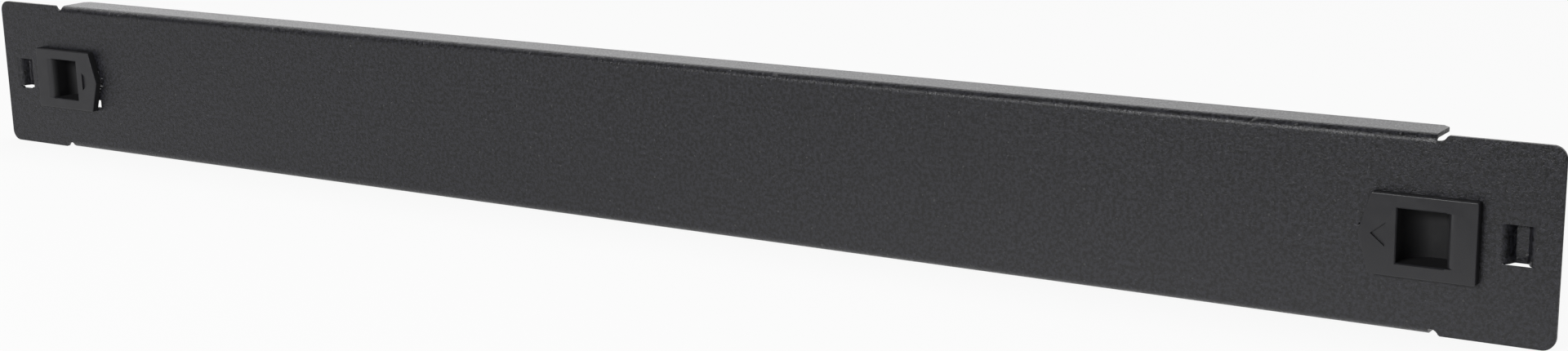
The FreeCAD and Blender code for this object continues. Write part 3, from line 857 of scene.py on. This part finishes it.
class DressLatches(bpy.types.Operator):
    """Gives the sliders their nylon, and rounds the bolts' edges"""

    bl_idname = "blanking.dress_latches"
    bl_label = "Dress the Latches"

    def execute(self, context):
        finish = context.scene.blanking_finish
        nylon = moulded_nylon(finish)
        for side, _ in SIDES:
            dress("latch_slider_" + side, nylon)
            bolt = merged_copy("latch_bolt_" + side, "bolt_" + side, nylon)
            soften_edges(bolt, finish.nylon_edge, angle=40)
            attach(bolt, "latch_" + side)
            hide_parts("latch_bolt_" + side)
        return {"FINISHED"}


class WindSprings(bpy.types.Operator):
    """Winds the two coil springs"""

    bl_idname = "blanking.wind_springs"
    bl_label = "Wind the Springs"

    def execute(self, context):
        spring = context.scene.blanking_spring
        wire = spring_wire(context.scene.blanking_finish)
        for name, side in SIDES:
            points, faces = coil_tube(spring, side)
            piece = new_piece("coil_spring_" + name, points, faces, wire)
            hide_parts("latch_spring_" + name)
            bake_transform(piece)
        return {"FINISHED"}


# The stage

# Over which metres of the floor its dim part, its bright foot and its dark end fade in
DIM_REACH = (0.2, 0.5)
FOOT_FRONT = (-0.14, -0.01)
FOOT_RIGHT = (-0.1, 0.15)
PAST_THE_END = (0.235, 0.275)
# Over which parts of a direction, whose length is 1, the studio's parts fade in or out
WALL_START = (-0.2, 0.1)
WALL_TOP = (0.8, 1.0)
WALL_RISE = (0.15, 0.6)
ROOM_RIGHT = (0.3, 0.8)


def grey(level):
    """A grey of this brightness."""
    return (level, level, level)


def add_area_lamp(name, place, target, size, power):
    """A rectangular white lamp that looks at a target."""
    data = bpy.data.lights.new(name, "AREA")
    data.shape = "RECTANGLE"
    data.size, data.size_y = size
    data.energy = power
    lamp = bpy.data.objects.new(name, data)
    lamp.location = place
    lamp.rotation_euler = (Vector(target) - Vector(place)).to_track_quat("-Z", "Y").to_euler()
    bpy.context.scene.collection.objects.link(lamp)
    return lamp


def seen_directly(tree):
    """1 for rays from the camera, from gloss and through glass, and 0 for the others."""
    path = "ShaderNodeLightPath"
    camera = tree.node(path, output="Is Camera Ray")
    gloss = tree.node(path, output="Is Glossy Ray")
    through = tree.node(path, output="Is Transmission Ray")
    return (camera + gloss + through).clamp()


def lay_floor(stage):
    """A pale floor just under the panel that shows white, and keeps its shadow.

    What gloss sees of it is painted light, a glow and no lamp: dim in front of the panel's right end, round
    the dim spot, as a painted shadow, bright at that end's foot as a painted pool of light, and dark past
    the end.
    """
    half = stage.floor_side / 2
    z = cad_bounds[0][2]
    corners = [(-half, -half, z), (half, -half, z), (half, half, z), (-half, half, z)]
    material, tree = new_material("floor")
    place = tree.node("ShaderNodeTexCoord", output="Object")
    away = tree.node(
        "ShaderNodeVectorMath", {"operation": "DISTANCE"}, {0: place, 1: stage.dim_spot[:]},
        output="Value")
    right, front = (
        tree.node("ShaderNodeSeparateXYZ", {}, {"Vector": place}, output=axis) for axis in range(2))
    # Painted light seen only by gloss: a painted shadow round the dim spot, a painted bright patch at the
    # right end's foot, and dark past that end
    foot = tree.step(front, *FOOT_FRONT) * tree.step(right, *FOOT_RIGHT)
    seen = tree.blend(tree.step(away, *DIM_REACH), grey(0.1), grey(0.85))
    seen = tree.blend(foot, seen, grey(1.1))
    seen = tree.blend(tree.step(right, *PAST_THE_END), seen, grey(0.06))
    matte = tree.node("ShaderNodeBsdfDiffuse", {}, {"Color": grey(0.8)})
    sheen = tree.node("ShaderNodeEmission", {}, {"Color": seen})
    glow = tree.node("ShaderNodeEmission", {}, {"Color": WHITE, "Strength": 1.0})
    camera_ray = tree.node("ShaderNodeLightPath", output="Is Camera Ray")
    gloss_ray = tree.node("ShaderNodeLightPath", output="Is Glossy Ray")
    surface = tree.node("ShaderNodeMixShader", {}, {0: gloss_ray, 1: matte, 2: sheen})
    surface = tree.node("ShaderNodeMixShader", {}, {0: camera_ray * 0.9, 1: surface, 2: glow})
    tree.node("ShaderNodeOutputMaterial", {}, {"Surface": surface})
    new_piece("floor", np.array(corners), [(0, 1, 2, 3)], material)


def make_world(scene):
    """A studio whose white back wall is brighter to the left and higher up, and ends overhead.

    The rest is a dim room, a little lighter to the right. What is neither gloss nor seen
    directly gets a soft even light.
    """
    scene.world = bpy.data.worlds.new("studio")
    tree = Tree(scene.world)
    way = tree.node("ShaderNodeTexCoord", output="Generated")
    side, depth, height = (
        tree.node("ShaderNodeSeparateXYZ", {}, {"Vector": way}, output=axis) for axis in range(3))
    wall = tree.step(depth, *WALL_START) * (1 - tree.step(height - side * 0.3, *WALL_TOP))
    bright = (0.98 - side * 0.75) * tree.step(height, *WALL_RISE, 1.0, 1.4)
    room = tree.step(side, *ROOM_RIGHT, 0.07, 0.12)
    camera_ray = tree.node("ShaderNodeLightPath", output="Is Camera Ray")
    soft = tree.node("ShaderNodeBackground", {}, {"Color": WHITE, "Strength": 0.25})
    gloss = tree.node("ShaderNodeBackground", {}, {"Color": WHITE, "Strength": wall * bright + room})
    white = tree.node("ShaderNodeBackground", {}, {"Color": WHITE, "Strength": 1.0})
    lit = tree.node("ShaderNodeMixShader", {}, {0: seen_directly(tree), 1: soft, 2: gloss})
    surface = tree.node("ShaderNodeMixShader", {}, {0: camera_ray, 1: lit, 2: white})
    tree.node("ShaderNodeOutputWorld", {}, {"Surface": surface})


class SetStage(bpy.types.Operator):
    """Makes the floor, the world, the lamps and the camera"""

    bl_idname = "blanking.set_stage"
    bl_label = "Set the Stage"

    def execute(self, context):
        stage = context.scene.blanking_stage
        scene = context.scene
        lay_floor(stage)
        make_world(scene)
        overhead = add_area_lamp(
            "overhead", place=(0, 0.35, 1.3), target=(0, -0.25, 0), size=(1.8, 0.8),
            power=stage.overhead_power)
        overhead.visible_glossy = False
        add_area_lamp(
            "front", place=(-0.1, -1.0, 0.42), target=(0, 0, 0), size=(0.5, 0.2),
            power=stage.front_power)
        camera = bpy.data.cameras.new("camera")
        camera.lens = stage.camera_lens
        camera.sensor_width = 36
        camera.clip_start = 0.01
        camera.shift_y = stage.camera_shift
        view = bpy.data.objects.new("camera", camera)
        view.location = stage.camera_place
        view.rotation_euler = Euler(stage.camera_turn)
        scene.collection.objects.link(view)
        scene.camera = view
        scene.view_settings.view_transform = "Standard"
        return {"FINISHED"}


# The sidebar and the add-on's own calls
class BlankingPanelSidebar(bpy.types.Panel):
    """Lists the steps and the settings"""

    bl_idname = "VIEW3D_PT_blanking_panel"
    bl_label = "Blanking Panel"
    bl_space_type = "VIEW_3D"
    bl_region_type = "UI"
    bl_category = "Blanking Panel"

    def draw(self, context):
        for operator in OPERATORS:
            self.layout.operator(operator.bl_idname)
        for group, kind in GROUPS.items():
            box = self.layout.box()
            for name in kind.__annotations__:
                box.prop(getattr(context.scene, group), name)


OPERATORS = (SetStage, FoldPanel, DressLatches, WindSprings)
CLASSES = (*GROUPS.values(), *OPERATORS, BlankingPanelSidebar)


def register():
    for kind in CLASSES:
        bpy.utils.register_class(kind)
    for group, kind in GROUPS.items():
        setattr(bpy.types.Scene, group, bpy.props.PointerProperty(type=kind))


def unregister():
    for group in GROUPS:
        delattr(bpy.types.Scene, group)
    for kind in reversed(CLASSES):
        bpy.utils.unregister_class(kind)


def main():
    """Runs every step in order."""
    register()
    for operator in OPERATORS:
        group, name = operator.bl_idname.split(".")
        getattr(getattr(bpy.ops, group), name)()


if __name__ == "__main__":
    main()
